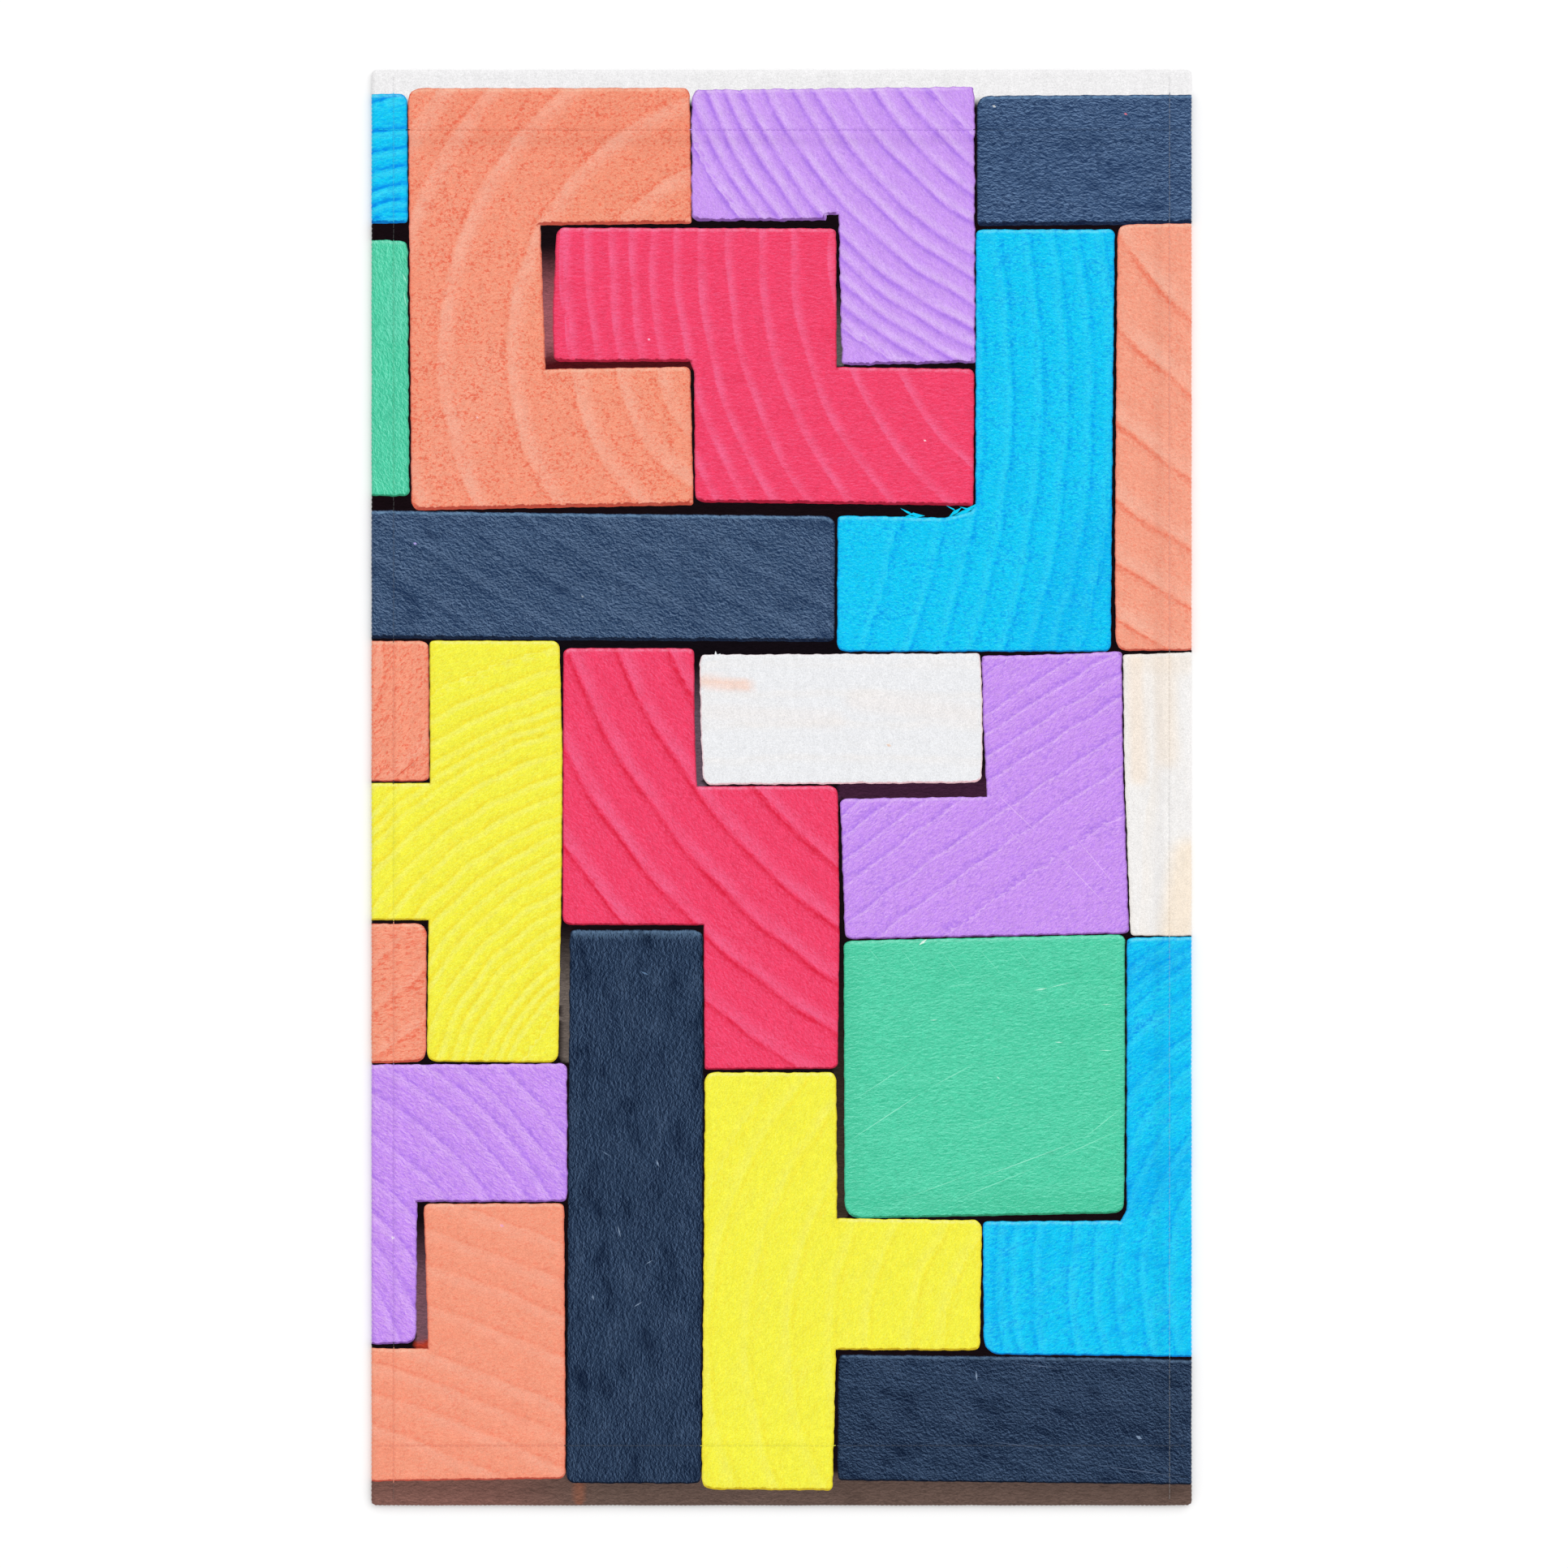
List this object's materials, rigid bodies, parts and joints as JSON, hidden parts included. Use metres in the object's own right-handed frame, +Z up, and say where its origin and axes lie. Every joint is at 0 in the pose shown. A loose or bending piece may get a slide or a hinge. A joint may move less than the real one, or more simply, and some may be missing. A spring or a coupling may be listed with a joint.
{
  "type": "printed hand towel",
  "caption": "Rectangular hand towel lying flat, short printed pile on the face, white cotton on the back, every edge turned under and stitched; dries hands or hangs on a rail.",
  "frame": {"origin": "centre of the towel's underside as it lies flat on a surface", "axes": "+X across the width, to the right as the print is viewed; +Y along the length, towards the print's top end; +Z up, out of the printed face"},
  "size_m": [0.4064, 0.7112, 0.0047],
  "materials": {
    "printed_pile": "sheared polyester pile, printed edge to edge with coloured wooden puzzle blocks; matt with a faint sheen",
    "white_cotton": "undyed white cotton, matt",
    "sewing_thread": "spun polyester sewing thread; the needle thread takes the print's colour where it crosses it"
  },
  "bodies": {
    "root": {"printed_face": "printed_pile", "cotton_back": "white_cotton", "left_hem": "white_cotton", "right_hem": "white_cotton", "top_hem": "white_cotton", "bottom_hem": "white_cotton", "left_needle_thread": "sewing_thread", "right_needle_thread": "sewing_thread", "top_needle_thread": "sewing_thread", "bottom_needle_thread": "sewing_thread", "left_bobbin_thread": "sewing_thread", "right_bobbin_thread": "sewing_thread", "top_bobbin_thread": "sewing_thread", "bottom_bobbin_thread": "sewing_thread"}
  },
  "joints": []
}
